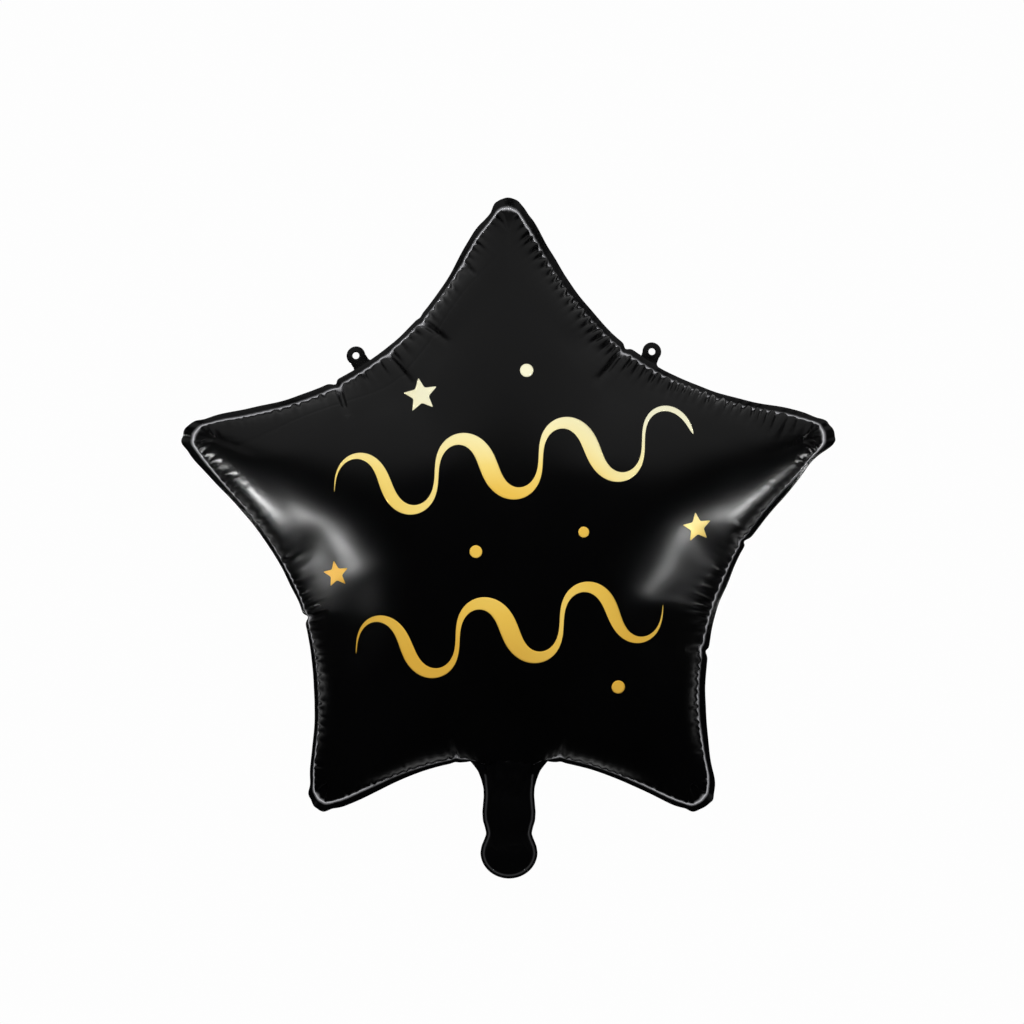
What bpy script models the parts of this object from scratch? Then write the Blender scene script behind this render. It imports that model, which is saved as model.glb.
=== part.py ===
"""Star-shaped foil party balloon, inflated.

Two film panels are joined by a flat seam flange. A flat filling tail hangs from the lower notch and
holds a self-sealing valve of two thin films. Two punched tabs stand in the upper notches. Gold motifs
are printed on the front. Metres, +Z up, and the front faces -Y. The world origin is on the star's
upright axis, in the plane of the seam, at the mean height of the two tab holes that it hangs by.
"""

import math

import bmesh
import bpy
from mathutils import Matrix, Vector

# Driving dimensions of the inflated star, seen from the front
TIP_RADIUS = 0.2334  # star centre to the blunt end of a point
NOTCH_RADIUS = 0.1546  # star centre to the outer edge in a notch
NOTCH_FILLET = 0.212  # radius of the long concave arc in each notch
EDGE_TURN = math.radians(23.4)  # how far that arc turns, each side of the notch's middle
HALF_THICKNESS = 0.068  # seam plane to the crown of one panel
FLANGE = 0.0080  # width of the welded flange

# Film. Real film is about 0.03 mm thick, and these sheets stand in for it.
FILM = 0.0004
LAYER_GAP = 0.0003  # kept between films that the real balloon welds or presses together
VALVE_FILM = 0.0003
VALVE_WIDTH = 0.022
VALVE_RISE = 0.062  # how far the valve reaches into the balloon above the notch

# Filling tail, as heights below the star centre
FOLD_DROP = 0.1815  # the fold line, where the flat tail starts
TAIL_END_DROP = 0.2389
TAIL_HALF_WIDTH = 0.0180
TAIL_WELD = 0.0030  # width of the weld round the tail
# Half width of the flat tail at distances below the fold line: straight sides, a waist, then the bulb
TAIL_SIDES = (
    (0.0085, 0.0180),
    (0.0155, 0.0183),
    (0.0205, 0.0174),
    (0.0250, 0.0161),
    (0.0295, 0.0174),
    (0.0340, 0.0192),
    (0.0386, 0.0199),
)
FOLD_GAP = 0.0016  # each side of a fold line, so that the films clear each other at a right angle
BULGE_START = 0.024 - NOTCH_RADIUS  # height where the swollen root starts, inside the balloon
BULGE_TOP = (0.0170, 0.0130)  # its half width and half thickness there
BULGE_END = (0.0155, 0.0015)  # the same at the fold line
INLET_RADIUS = 0.0045
INLET_DROP = 0.2200

# Hanging tabs. Holes are placed from the star centre, and a tab leans to its left by its lean.
TAB_HOLE_RADIUS = 0.0024
TAB_HEAD_RADIUS = 0.0066
TAB_HEAD_TURN = math.radians(105)  # how far the round head reaches down each side
TAB_HALF_WIDTH = 0.0068  # at the fold line
TAB_STEM = 0.0056  # fold line to hole
TAB_EAR = 0.0030  # how far the flange's ear stands between its edge and the fold line
TAB_EAR_REACH = 0.0125  # half width of that ear where it leaves the flange
LEFT_TAB = {"hole": (-0.1068, 0.1255), "lean": math.radians(33)}
RIGHT_TAB = {"hole": (0.0997, 0.1283), "lean": math.radians(-20)}
HANGING_HEIGHT = 0.1269  # midway between the heights of the two holes

# Gold print: two streamers in rising rows, with stars and dots between them
PRINT_THICKNESS = 0.0003
PRINT_LIFT = 0.0012  # above the smooth dome, which clears the facets of the panel below
PRINT_RISE = math.radians(9)
STREAMER_SWING = math.radians(78)  # the steepest slope of a streamer's waves
STREAMER_STEP = 0.006
STREAMERS = {
    "upper": {"start": (-0.118, 0.030), "waves": 3.5, "wave_length": 0.120, "widest": 0.0125},
    "lower": {"start": (-0.104, -0.080), "waves": 3.0, "wave_length": 0.120, "widest": 0.0125},
}
PRINTED_STARS = ((-0.060, 0.096, 0.0125), (0.128, 0.006, 0.0105), (-0.118, -0.026, 0.0095))
PRINTED_DOTS = (
    (0.012, 0.112, 0.0045),
    (-0.022, -0.010, 0.0042),
    (0.050, 0.003, 0.0036),
    (0.074, -0.102, 0.0045),
)

ARC_STEPS = 6  # straight pieces in each notch arc
RUN_STEPS = 3  # straight pieces from there to a point's blunt end
DOME_RINGS = 20
DOME_FULLNESS = 2.0  # how quickly the dome rises from its edges to the crown
TIP_FULLNESS = 25.0  # the same from the blunt ends
ROUND_STEPS = 24

POINTS = 5
SECTOR = 2 * math.pi / POINTS
ARC_CENTRE = NOTCH_RADIUS + NOTCH_FILLET
TAIL_HALF_STACK = LAYER_GAP / 2 + VALVE_FILM + LAYER_GAP  # seam plane to the inner face of a tail film


def clear_scene():
    for obj in list(bpy.data.objects):
        bpy.data.objects.remove(obj)


def new_collection(name):
    collection = bpy.data.collections.new(name)
    bpy.context.scene.collection.children.link(collection)
    return collection


def new_material(name, colour, roughness, metallic=0.0, alpha=1.0):
    material = bpy.data.materials.new(name)
    material.use_nodes = True
    shader = material.node_tree.nodes["Principled BSDF"]
    shader.inputs["Base Color"].default_value = (*colour, 1.0)
    shader.inputs["Roughness"].default_value = roughness
    shader.inputs["Metallic"].default_value = metallic
    shader.inputs["Alpha"].default_value = alpha
    return material


clear_scene()
BALLOON = new_collection("foil_star_balloon")
CUTTERS = new_collection("cutters")
BLACK_FILM = new_material("black_film", (0.012, 0.012, 0.014), 0.28)
GOLD_PRINT = new_material("gold_print", (0.83, 0.60, 0.20), 0.32, metallic=0.8)
CLEAR_FILM = new_material("clear_valve_film", (0.75, 0.78, 0.80), 0.2, alpha=0.45)


def new_empty(name, location, parent=None, rotation=(0, 0, 0)):
    empty = bpy.data.objects.new(name, None)
    empty.parent = parent
    empty.location = location
    empty.rotation_euler = rotation
    BALLOON.objects.link(empty)
    return empty


def from_bmesh(name, bm, material=None, parent=None, cutter=False):
    """An object made from a bmesh, as a part of the balloon or as a hidden cutter."""
    bmesh.ops.recalc_face_normals(bm, faces=bm.faces)
    mesh = bpy.data.meshes.new(name)
    bm.to_mesh(mesh)
    bm.free()
    obj = bpy.data.objects.new(name, mesh)
    obj.parent = parent
    if cutter:
        CUTTERS.objects.link(obj)
        obj.hide_render = True
        obj.display_type = "WIRE"
    else:
        BALLOON.objects.link(obj)
        mesh.materials.append(material)
        mesh.shade_smooth()
        mesh.set_sharp_from_angle(angle=math.radians(40))
    return obj


def boolean(obj, operation, other):
    modifier = obj.modifiers.new(operation.lower() + "_" + other.name, "BOOLEAN")
    modifier.operation = operation
    modifier.object = other


def polar(radius, angle):
    """A point in the seam plane, as (x, z). The angle is measured from +X, anticlockwise from the front."""
    return Vector((radius * math.cos(angle), radius * math.sin(angle)))


def notch_directions():
    """The angle of each notch, from the lower one round."""
    return [math.radians(-90) + SECTOR * k for k in range(POINTS)]


def star_outline(inset=0.0):
    """The star's edge moved in by inset, as (x, z): an arc in each notch, and straight runs to blunt tips."""
    radius = NOTCH_FILLET + inset
    run = ARC_CENTRE * math.cos(EDGE_TURN) - radius  # distance of the straight runs from the centre
    tip = TIP_RADIUS - inset
    half_tip = (run - tip * math.cos(SECTOR / 2 + EDGE_TURN)) / math.sin(SECTOR / 2 + EDGE_TURN)
    points = []
    for notch in notch_directions():
        centre = polar(ARC_CENTRE, notch)
        axis = notch + SECTOR / 2
        across = polar(half_tip, axis + math.pi / 2)
        corner = polar(tip, axis) - across
        turns = [EDGE_TURN * (1 - 2 * k / ARC_STEPS) for k in range(ARC_STEPS + 1)]
        arc = [centre - polar(radius, notch + turn) for turn in turns]
        run_up = [arc[-1].lerp(corner, k / RUN_STEPS) for k in range(1, RUN_STEPS + 1)]
        # The next notch's side of the same point is the mirror image of this one.
        mirrored = [p - 2 * p.dot(across) / across.length_squared * across for p in reversed(run_up)]
        points += arc + run_up + [polar(tip, axis)] + mirrored
    return points


def nearest_on(outline, point):
    """The place on a closed outline nearest to a point, and the number of the outline point before it."""
    places = []
    for k, start in enumerate(outline):
        along = outline[(k + 1) % len(outline)] - start
        share = min(1.0, max(0.0, (point - start).dot(along) / along.length_squared))
        place = start + along * share
        places.append(((place - point).length, k, place))
    return min(places, key=lambda found: found[0])[1:]


def spliced(outline, extra):
    """The outline with extra in place of the stretch between extra's two ends, which move onto the outline."""
    before, first = nearest_on(outline, extra[0])
    after, last = nearest_on(outline, extra[-1])
    count = len(outline) - (after - before) % len(outline)
    kept = [outline[(after + 1 + k) % len(outline)] for k in range(count)]
    return kept + [first] + extra[1:-1] + [last]


def tab_fold(tab):
    """The middle of a tab's fold line, and the directions up and across the tab, all as (x, z)."""
    up = Vector((-math.sin(tab["lean"]), math.cos(tab["lean"])))
    across = Vector((up.y, -up.x))
    return Vector(tab["hole"]) - up * TAB_STEM, up, across


def tab_ear(tab):
    """The flange's ear under a tab, from the flange up to the tab's fold line and back, anticlockwise."""
    middle, up, across = tab_fold(tab)
    flare = [(TAB_EAR_REACH, -TAB_EAR), (TAB_HALF_WIDTH, -FOLD_GAP / 2)]
    right = [middle + across * wide + up * rise for wide, rise in flare]
    return right + [middle - across * wide + up * rise for wide, rise in reversed(flare)]


def tail_root():
    """The film that reaches from the lower notch down to the tail's fold line, anticlockwise."""
    flare = ((0.0300, 0.0), (0.0205, -0.0025), (0.0187, -0.0080), (TAIL_HALF_WIDTH, -0.0140))
    left = [Vector((-wide, rise - NOTCH_RADIUS)) for wide, rise in flare]
    left.append(Vector((-TAIL_HALF_WIDTH * 0.98, FOLD_GAP - FOLD_DROP)))
    return left + [Vector((-p.x, p.y)) for p in reversed(left)]


def film_outline():
    """The outer edge of the whole film: the star, the two tab ears and the root of the tail."""
    outline = star_outline()
    for extra in (tail_root(), tab_ear(LEFT_TAB), tab_ear(RIGHT_TAB)):
        outline = spliced(outline, extra)
    return outline


def flat_plate(name, outline, low, high, **options):
    """A flat sheet over an (x, z) outline, from y = low to y = high."""
    bm = bmesh.new()
    face = bm.faces.new([bm.verts.new((x, low, z)) for x, z in outline])
    thick = bmesh.ops.extrude_face_region(bm, geom=[face])
    moved = [v for v in thick["geom"] if isinstance(v, bmesh.types.BMVert)]
    bmesh.ops.translate(bm, verts=moved, vec=(0, high - low, 0))
    bmesh.ops.triangulate(bm, faces=[f for f in bm.faces if len(f.verts) > 4])
    return from_bmesh(name, bm, **options)


def edge_distance(point, notch, inset):
    """How far inside the edge through one notch a point lies."""
    away = ARC_CENTRE - point.dot(polar(1, notch))
    across = abs(point.dot(polar(1, notch + math.pi / 2)))
    if math.atan2(across, away) < EDGE_TURN:
        return math.hypot(across, away) - NOTCH_FILLET - inset
    return away * math.cos(EDGE_TURN) + across * math.sin(EDGE_TURN) - NOTCH_FILLET - inset


def fullness(distance, full_distance, rate):
    """A share from 0 at an edge to 1 at the full distance from it."""
    return math.tanh(rate * max(0.0, distance) / full_distance) / math.tanh(rate)


def dome_height(point, inset, crown):
    """Height of the inflated panel over an (x, z) point. Each edge limits it, so every arm is round across."""
    share = 1.0
    for notch in notch_directions():
        share *= fullness(edge_distance(point, notch, inset), NOTCH_RADIUS - inset, DOME_FULLNESS)
        tip = TIP_RADIUS - inset
        share *= fullness(tip - point.dot(polar(1, notch + SECTOR / 2)), tip, TIP_FULLNESS)
    return crown * math.sqrt(share)


def star_form(name, inset, crown, **options):
    """A closed cushion over the star: a UV sphere with its meridians pushed out to the outline's points."""
    outline = star_outline(inset)
    bm = bmesh.new()
    bmesh.ops.create_uvsphere(bm, u_segments=len(outline), v_segments=DOME_RINGS, radius=1.0)
    for vert in bm.verts:
        share = math.hypot(vert.co.x, vert.co.y)
        meridian = round(math.atan2(vert.co.y, vert.co.x) / (2 * math.pi) * len(outline))
        point = outline[meridian % len(outline)] * share
        height = 0.0 if share > 0.9999 else dome_height(point, inset, crown)
        vert.co = (point.x, math.copysign(height, vert.co.z), point.y)
    bmesh.ops.triangulate(bm, faces=bm.faces, quad_method="FIXED")
    return from_bmesh(name, bm, **options)


def root_bulge(name, thinner, run_out, **options):
    """The swollen root of the tail: an oval tube that flattens to the fold line, and past it by run_out."""
    bm = bmesh.new()
    bmesh.ops.create_cone(bm, cap_ends=True, segments=ROUND_STEPS, radius1=1, radius2=1, depth=1)
    for vert in bm.verts:
        share = 0.0 if vert.co.z > 0 else 1.0 + run_out
        wide, thick = (top + (end - top) * share - thinner for top, end in zip(BULGE_TOP, BULGE_END))
        height = BULGE_START + (FOLD_GAP - FOLD_DROP - BULGE_START) * share
        vert.co = (vert.co.x * wide, vert.co.y * thick, height)
    bmesh.ops.triangulate(bm, faces=bm.faces, quad_method="FIXED")
    return from_bmesh(name, bm, **options)


def panel(name, side, parent, cutters):
    """One film panel, on the side -1 (front) or 1 (rear): dome, half of the flange, half of the tail's root."""
    hollow_star, bulge, hollow_bulge = cutters
    shell = star_form(name, FLANGE, HALF_THICKNESS, material=BLACK_FILM, parent=parent)
    near, far = side * LAYER_GAP / 2, side * (LAYER_GAP / 2 + FILM)
    low, high = sorted((near, far))
    flange = flat_plate(name + "_flange", film_outline(), low, high, parent=parent, cutter=True)
    boolean(shell, "UNION", flange)
    boolean(shell, "UNION", bulge)
    boolean(shell, "DIFFERENCE", hollow_star)
    boolean(shell, "DIFFERENCE", hollow_bulge)
    bm = bmesh.new()
    bmesh.ops.create_cube(bm, size=1.0)
    depth = 2 * HALF_THICKNESS
    bmesh.ops.scale(bm, vec=(3 * TIP_RADIUS, depth, 3 * TIP_RADIUS), verts=bm.verts)
    bmesh.ops.translate(bm, vec=(0, near - side * depth / 2, 0), verts=bm.verts)
    boolean(shell, "DIFFERENCE", from_bmesh(name + "_other_side", bm, parent=parent, cutter=True))
    return shell


def panels(centre):
    cutters = (
        star_form("hollow_star", FLANGE + FILM, HALF_THICKNESS - FILM, parent=centre, cutter=True),
        root_bulge("bulge", 0.0, 0.0, parent=centre, cutter=True),
        root_bulge("hollow_bulge", FILM, 0.04, parent=centre, cutter=True),
    )
    panel("front_panel", -1, centre, cutters)
    panel("rear_panel", 1, centre, cutters)


def tail_outline():
    """The flat tail below its fold line, as (x, z) from that line."""
    half = [Vector((TAIL_SIDES[0][1], -FOLD_GAP))] + [Vector((wide, -drop)) for drop, wide in TAIL_SIDES]
    bulb_drop, bulb_half_width = TAIL_SIDES[-1]
    bulb_height = TAIL_END_DROP - FOLD_DROP - bulb_drop
    for step in range(1, ROUND_STEPS // 3):
        angle = math.pi / 2 * step / (ROUND_STEPS // 3)
        half.append(Vector((bulb_half_width * math.cos(angle), -bulb_drop - bulb_height * math.sin(angle))))
    return half + [Vector((-p.x, p.y)) for p in reversed(half)]


def tail_film(name, side, fold):
    """One foil film of the flat tail: a welded border at the seam plane, and a middle raised over the valve."""
    bm = bmesh.new()
    face = bm.faces.new([bm.verts.new((x, side * LAYER_GAP / 2, z)) for x, z in tail_outline()])
    bmesh.ops.inset_region(bm, faces=[face], thickness=TAIL_WELD, use_even_offset=True)
    for vert in face.verts:
        vert.co.y = side * TAIL_HALF_STACK
    grown = bmesh.ops.extrude_face_region(bm, geom=bm.faces[:])
    moved = [v for v in grown["geom"] if isinstance(v, bmesh.types.BMVert)]
    bmesh.ops.translate(bm, verts=moved, vec=(0, side * FILM, 0))
    bmesh.ops.triangulate(bm, faces=[f for f in bm.faces if len(f.verts) > 4])
    return from_bmesh(name, bm, material=BLACK_FILM, parent=fold)


def inlet_cutter(fold):
    bm = bmesh.new()
    bmesh.ops.create_cone(bm, cap_ends=True, segments=ROUND_STEPS, radius1=1, radius2=1, depth=1)
    bmesh.ops.scale(bm, verts=bm.verts, vec=(INLET_RADIUS, INLET_RADIUS, 0.004))
    bmesh.ops.rotate(bm, verts=bm.verts, matrix=Matrix.Rotation(math.pi / 2, 3, "X"))
    bmesh.ops.translate(bm, verts=bm.verts, vec=(0, 0.002 + TAIL_HALF_STACK / 2, FOLD_DROP - INLET_DROP))
    return from_bmesh("inlet_hole", bm, parent=fold, cutter=True)


def valve_film(name, side, top, bottom, parent):
    """One clear film of the valve, as a flat strip between two heights in its parent's frame."""
    half = VALVE_WIDTH / 2
    outline = [Vector(p) for p in ((-half, bottom), (half, bottom), (half, top), (-half, top))]
    near, far = side * LAYER_GAP / 2, side * (LAYER_GAP / 2 + VALVE_FILM)
    return flat_plate(name, outline, min(near, far), max(near, far), material=CLEAR_FILM, parent=parent)


def valve_and_tail(centre):
    fold = new_empty("tail_fold", (0, 0, -FOLD_DROP), centre)
    tail_film("tail_front_film", -1, fold)
    boolean(tail_film("tail_rear_film", 1, fold), "DIFFERENCE", inlet_cutter(fold))
    tail_bottom = FOLD_DROP - TAIL_END_DROP + 2 * TAIL_WELD
    for where, side in (("front", -1), ("rear", 1)):
        top = -NOTCH_RADIUS + VALVE_RISE
        valve_film(f"valve_{where}_film", side, top, -FOLD_DROP + FOLD_GAP, centre)
        valve_film(f"valve_{where}_film_in_tail", side, -FOLD_GAP, tail_bottom, fold)


def hanging_tab(name, tab, centre):
    """One punched tab, both films welded into one, standing on its fold line."""
    middle, _, _ = tab_fold(tab)
    fold = new_empty(name + "_fold", (middle.x, 0, middle.y), centre, (0, -tab["lean"], 0))
    curve = bpy.data.curves.new(name, "CURVE")
    curve.dimensions = "2D"
    curve.fill_mode = "BOTH"
    curve.extrude = FILM + LAYER_GAP / 2
    turns = [math.pi / 2 + TAB_HEAD_TURN * (2 * k / ROUND_STEPS - 1) for k in range(ROUND_STEPS + 1)]
    outline = [Vector((0, TAB_STEM)) + polar(TAB_HEAD_RADIUS, turn) for turn in turns]
    outline += [Vector((-TAB_HALF_WIDTH, FOLD_GAP / 2)), Vector((TAB_HALF_WIDTH, FOLD_GAP / 2))]
    rim = [polar(TAB_HOLE_RADIUS, 2 * math.pi * k / ROUND_STEPS) for k in range(ROUND_STEPS)]
    hole = [Vector((0, TAB_STEM)) + p for p in rim]
    for points in (outline, hole):
        spline = curve.splines.new("POLY")
        spline.points.add(len(points) - 1)
        for place, point in zip(spline.points, points):
            place.co = (point.x, point.y, 0, 1)
        spline.use_cyclic_u = True
    curve.materials.append(BLACK_FILM)
    obj = bpy.data.objects.new(name, curve)
    obj.rotation_euler = (math.pi / 2, 0, 0)
    obj.parent = fold
    BALLOON.objects.link(obj)


def printed(name, patches, centre):
    """A printed motif of (x, z) polygons that share edges, laid on the front dome and given a thickness."""
    bm = bmesh.new()
    for patch in patches:
        corners = [(p.x, -dome_height(p, FLANGE, HALF_THICKNESS) - PRINT_LIFT, p.y) for p in patch]
        bm.faces.new([bm.verts.new(corner) for corner in corners])
    bmesh.ops.remove_doubles(bm, verts=bm.verts, dist=1e-6)
    bmesh.ops.recalc_face_normals(bm, faces=bm.faces)
    grown = bmesh.ops.extrude_face_region(bm, geom=bm.faces[:])
    moved = [v for v in grown["geom"] if isinstance(v, bmesh.types.BMVert)]
    bmesh.ops.translate(bm, verts=moved, vec=(0, -PRINT_THICKNESS, 0))
    bmesh.ops.triangulate(bm, faces=bm.faces)
    return from_bmesh(name, bm, material=GOLD_PRINT, parent=centre)


def streamer_patches(start, waves, wave_length, widest):
    """A wavy streamer that swings evenly along its length, broad where it runs down and thin where it rises."""
    steps = round(waves * wave_length / STREAMER_STEP)
    place = Vector(start)
    rows = []
    for k in range(steps + 1):
        share = k / steps
        swing = math.cos(2 * math.pi * waves * share)
        heading = PRINT_RISE + STREAMER_SWING * swing
        taper = max(0.12, math.sin(math.pi * share)) ** 0.5
        half_width = widest / 2 * taper * (0.62 - 0.38 * swing)
        side = polar(half_width, heading + math.pi / 2)
        rows.append((place + side, place, place - side))
        place = place + polar(STREAMER_STEP, heading)
    return [(a[k], a[k + 1], b[k + 1], b[k]) for a, b in zip(rows, rows[1:]) for k in range(2)]


def star_patches(x, z, radius):
    """A small five-pointed star, in five kites from its centre."""
    middle = Vector((x, z))
    top = math.pi / 2 + PRINT_RISE
    tips = [middle + polar(radius, top + SECTOR * k) for k in range(POINTS)]
    dents = [middle + polar(radius * 0.45, top + SECTOR * (k + 0.5)) for k in range(POINTS)]
    return [(middle, dents[k - 1], tips[k], dents[k]) for k in range(POINTS)]


def dot_patches(x, z, radius):
    middle = Vector((x, z))
    rim = [middle + polar(radius, 2 * math.pi * k / 12) for k in range(12)]
    return [(middle, rim[k - 1], rim[k]) for k in range(12)]


def gold_print(centre):
    for name, streamer in STREAMERS.items():
        printed("print_streamer_" + name, streamer_patches(**streamer), centre)
    for number, star in enumerate(PRINTED_STARS, 1):
        printed(f"print_star_{number}", star_patches(*star), centre)
    for number, dot in enumerate(PRINTED_DOTS, 1):
        printed(f"print_dot_{number}", dot_patches(*dot), centre)


def main():
    centre = new_empty("star_centre", (0, 0, -HANGING_HEIGHT))
    panels(centre)
    valve_and_tail(centre)
    hanging_tab("hanging_tab_left", LEFT_TAB, centre)
    hanging_tab("hanging_tab_right", RIGHT_TAB, centre)
    gold_print(centre)


main()
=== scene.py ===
"""Black foil star balloon with gold print, in front of a pale studio wall."""

import math

import bmesh
import bpy
import numpy as np
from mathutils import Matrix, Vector, noise
from mathutils.bvhtree import BVHTree
from mathutils.geometry import delaunay_2d_cdt


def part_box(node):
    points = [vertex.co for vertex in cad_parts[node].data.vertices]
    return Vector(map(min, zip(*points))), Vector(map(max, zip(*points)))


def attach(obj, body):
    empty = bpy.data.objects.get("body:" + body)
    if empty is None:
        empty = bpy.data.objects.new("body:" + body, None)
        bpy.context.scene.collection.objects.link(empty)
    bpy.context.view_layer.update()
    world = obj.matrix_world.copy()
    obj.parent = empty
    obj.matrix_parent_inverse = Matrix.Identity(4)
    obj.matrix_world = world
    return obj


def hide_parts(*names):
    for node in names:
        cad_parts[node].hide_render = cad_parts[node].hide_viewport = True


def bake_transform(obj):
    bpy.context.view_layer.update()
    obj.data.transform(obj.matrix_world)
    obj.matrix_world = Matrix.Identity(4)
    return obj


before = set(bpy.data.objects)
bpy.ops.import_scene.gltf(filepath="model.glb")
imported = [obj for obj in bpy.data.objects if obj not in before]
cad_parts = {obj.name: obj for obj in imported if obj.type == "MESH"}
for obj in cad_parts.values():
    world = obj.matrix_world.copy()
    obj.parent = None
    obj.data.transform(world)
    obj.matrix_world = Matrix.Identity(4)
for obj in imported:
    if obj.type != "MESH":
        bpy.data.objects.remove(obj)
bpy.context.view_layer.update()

# The star, from the CAD model. Points in the seam plane are (x, z) from the star's centre.
POINTS = 5
SECTOR = 2 * math.pi / POINTS
TIP_RADIUS = 0.2334
NOTCH_RADIUS = 0.1546
NOTCH_FILLET = 0.212
EDGE_TURN = math.radians(23.4)
FLANGE = 0.0080
CENTRE_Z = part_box("front_panel")[1][2] - TIP_RADIUS

# The weld line on the flat film before it is filled: tip radius, notch radius, notch arc and its turn
FLAT_STAR = (0.2400, 0.1725, 0.128, math.radians(12))
WELD_STAR = (TIP_RADIUS - FLANGE, NOTCH_RADIUS - FLANGE, NOTCH_FILLET + FLANGE, EDGE_TURN)
RIM_STAR = (TIP_RADIUS, NOTCH_RADIUS, NOTCH_FILLET, EDGE_TURN)

# Meshes. A half edge runs from the middle of a notch to the middle of the next tip.
COARSE = 0.0050  # spacing of the simulated film's points
HALF_EDGE_COARSE = 29  # its steps along a half edge
FINE = ((0.0, 0.027, 0.00108), (0.027, 0.038, 0.0021), (0.038, 1.0, 0.0040))  # from, to, spacing
HALF_EDGE_FINE = 132  # the fine mesh's steps along a half edge
RING = 10 * HALF_EDGE_FINE
FLAT_HALF_EDGE = 0.1446  # length of a half edge of the flat film
FILL_FRAMES = 40
SETTLE_FRAMES = 20  # the last of the fill frames, when the weld line keeps still
CLOTH = {
    "quality": 8,
    "mass": 0.001,
    "air_damping": 8,
    "tension_stiffness": 400,
    "compression_stiffness": 2,
    "shear_stiffness": 20,
    "bending_stiffness": 0.02,
    "tension_damping": 5,
    "compression_damping": 1,
    "shear_damping": 2,
    "bending_damping": 0.5,
    "use_pressure": True,
    "uniform_pressure_force": 40,
}
FILM_SMOOTHING = 14  # rounds that even out the simulated creases

# Places round the ring are counted in half edges, anticlockwise from the lower notch: 1 is the lower right
# tip, 2 the right notch, 3 the right tip, 4 the upper right notch, 5 the top tip, and so on to 10.
PUCKER = (
    (0, 0.35), (0.5, 0.3), (1, 0.25), (1.5, 0.55), (2, 0.75), (2.5, 0.4), (2.9, 0.25), (3.3, 0.95),
    (3.7, 1.0), (4.0, 0.8), (4.2, 1.0), (4.7, 0.9), (5.0, 0.25), (5.4, 0.5), (6.0, 0.55), (6.5, 0.45),
    (7.0, 0.25), (7.5, 0.45), (8.0, 0.6), (8.4, 0.75), (8.8, 0.5), (9.0, 0.25), (9.5, 0.3), (10, 0.35),
)
# The rim and the line where the puffed film meets the flange: place, and how far outside the even star's rim
# each lies, in millimetres. Most rows are readings of the photograph, copied or smoothed.
SEAM = (
    (0.0, 0.0, 6.6), (0.09, 0.0, 6.2), (0.14, 0.0, 2.6), (0.18, 1.5, -0.8), (0.25, 0.3, -3.7),
    (0.50, 1.3, -3.0), (0.67, 2.0, -3.6), (0.83, 3.6, -2.4), (0.93, 0.2, -4.0), (1.00, -3.4, -6.4),
    (1.06, -0.6, -6.0), (1.15, 4.4, -3.0), (1.24, 0.8, -5.4), (1.42, 0.3, -7.4), (1.60, 0.0, -6.6),
    (1.90, -0.6, -5.2), (2.15, 0.0, -4.7), (2.28, -0.8, -5.2), (2.45, 1.0, -4.9), (2.60, 2.5, -4.3),
    (2.75, 1.2, -3.2), (2.84, -0.6, -4.2), (2.92, 3.6, -3.4), (3.00, 2.2, -3.8), (3.08, 3.2, -1.8),
    (3.17, 5.9, -1.0), (3.25, 6.4, -0.2), (3.34, 5.4, -2.0), (3.50, 4.3, -2.4), (3.67, 3.0, -2.2),
    (3.85, 1.3, -3.3), (4.00, 1.2, -4.3), (4.15, 0.0, -5.0), (4.35, 1.3, -5.2), (4.50, 1.4, -6.8),
    (4.70, 2.3, -7.2), (4.84, 2.6, -6.6), (4.92, -0.6, -7.2), (5.00, 0.8, -5.6), (5.08, 1.0, -4.4),
    (5.16, 2.4, -2.8), (5.25, 6.4, -0.4), (5.34, 6.2, -0.6), (5.50, 4.1, -1.2), (5.70, 2.4, -2.4),
    (5.88, 1.4, -2.6), (6.10, 1.2, -3.4), (6.35, 1.4, -4.6), (6.55, 1.8, -4.8), (6.75, 2.8, -5.2),
    (6.84, 2.8, -3.8), (6.92, 0.4, -4.8), (7.00, 2.8, -3.2), (7.08, 5.0, -2.0), (7.16, 7.9, -0.6),
    (7.25, 6.8, 0.2), (7.40, 5.9, 0.3), (7.58, 3.9, -0.7), (7.80, 1.4, -1.7), (8.00, -0.9, -3.6),
    (8.20, -1.0, -4.0), (8.45, -1.3, -5.4), (8.65, -2.5, -7.0), (8.84, -2.6, -6.4), (8.92, -5.0, -8.8),
    (9.00, -2.6, -7.4), (9.08, -0.2, -5.4), (9.16, 4.3, -3.2), (9.26, 4.6, -3.8), (9.40, 2.8, -3.8),
    (9.60, 0.8, -3.2), (9.75, 0.6, -3.0), (9.82, 1.5, -0.4), (9.86, 0.0, 2.8), (9.91, 0.0, 6.2),
    (10.0, 0.0, 6.6),
)
FLANGE_LEAN = (
    (0, 0.0), (1, 0.0006), (2, 0.0008), (3, 0.0012), (4, 0.0020), (5, 0.0016), (6, 0.0020), (7, 0.0012),
    (8, 0.0008), (9, 0.0006), (10, 0.0),
)  # how far back the rim leans
# The deep creases that cut the seam, placed as in the photograph: place, length on the film, depth, and how
# far they pull the rim in
CREASES = (
    (0.25, 0.026, 0.0022, 0.0007), (1.76, 0.024, 0.0020, 0.0020), (2.33, 0.022, 0.0022, 0.0026),
    (4.075, 0.046, 0.0032, 0.0024), (5.40, 0.024, 0.0018, 0.0000), (5.73, 0.040, 0.0028, 0.0008),
    (5.955, 0.040, 0.0026, 0.0000), (6.25, 0.048, 0.0034, 0.0028), (8.075, 0.024, 0.0026, 0.0030),
    (9.74, 0.026, 0.0022, 0.0007),
)
CREASE_WIDTH = 0.0017
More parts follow.
